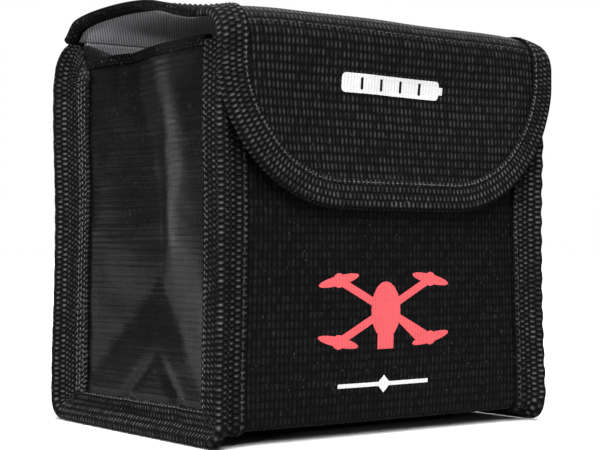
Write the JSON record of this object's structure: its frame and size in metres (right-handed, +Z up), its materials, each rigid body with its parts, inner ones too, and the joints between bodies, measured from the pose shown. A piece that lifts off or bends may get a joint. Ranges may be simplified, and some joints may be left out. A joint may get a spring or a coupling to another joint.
{
  "type": "lipo battery safe bag",
  "caption": "Box-shaped fire-resistant cloth bag for drone batteries, with gusseted sides and a hook-and-loop flap over the top.",
  "frame": {"origin": "middle of the footprint, on the surface that the bag stands on", "axes": "+Z up, the flap's side of the bag faces -Y, and +X is to the right as seen from the flap"},
  "size_m": [0.15, 0.1241, 0.1512],
  "materials": {
    "coated_black_cloth": "black coated glass-fibre cloth, satin",
    "silver_glass_cloth": "silver-grey glass cloth with a fine dark mesh",
    "black_webbing": "black ribbed binding tape",
    "hook_and_loop": "matt black hook and loop",
    "black_thread": "black polyester thread",
    "red_print": "red screen print",
    "white_print": "white screen print"
  },
  "bodies": {
    "bag": {"back_panel": "coated_black_cloth", "bottom_panel": "coated_black_cloth", "front_emblem": "red_print", "front_line_mark": "white_print", "front_panel": "coated_black_cloth", "gusset_hem_left": "black_webbing", "gusset_hem_right": "black_webbing", "gusset_left": "coated_black_cloth", "gusset_lining_left": "silver_glass_cloth", "gusset_lining_right": "silver_glass_cloth", "gusset_right": "coated_black_cloth", "lining_strip": "silver_glass_cloth", "loop_strip": "hook_and_loop", "mouth_hem": "black_webbing", "seam_binding_back_left": "black_webbing", "seam_binding_back_right": "black_webbing", "seam_binding_bottom_left": "black_webbing", "seam_binding_bottom_right": "black_webbing", "seam_binding_front_left": "black_webbing", "seam_binding_front_right": "black_webbing", "seam_thread_left": "black_thread", "seam_thread_right": "black_thread"},
    "lid": {"lid_binding_left": "black_webbing", "lid_binding_right": "black_webbing", "lid_lining": "silver_glass_cloth", "lid_shell": "coated_black_cloth", "lid_thread_left": "black_thread", "lid_thread_right": "black_thread"},
    "flap": {"flap_binding": "black_webbing", "flap_cell_mark": "white_print", "flap_lining": "silver_glass_cloth", "flap_shell": "coated_black_cloth", "flap_thread": "black_thread", "fold_thread": "black_thread", "hook_strip": "hook_and_loop"}
  },
  "joints": [
    {"name": "lid_fold", "type": "hinge", "parent": "bag", "child": "lid", "pos_m": [0, 0.0472, 0.1455], "axis": [-1, 0, 0], "range_deg": [0, 170]},
    {"name": "flap_fold", "type": "hinge", "parent": "lid", "child": "flap", "pos_m": [0, -0.0505, 0.1444], "axis": [-1, 0, 0], "range_deg": [0, 170]}
  ]
}
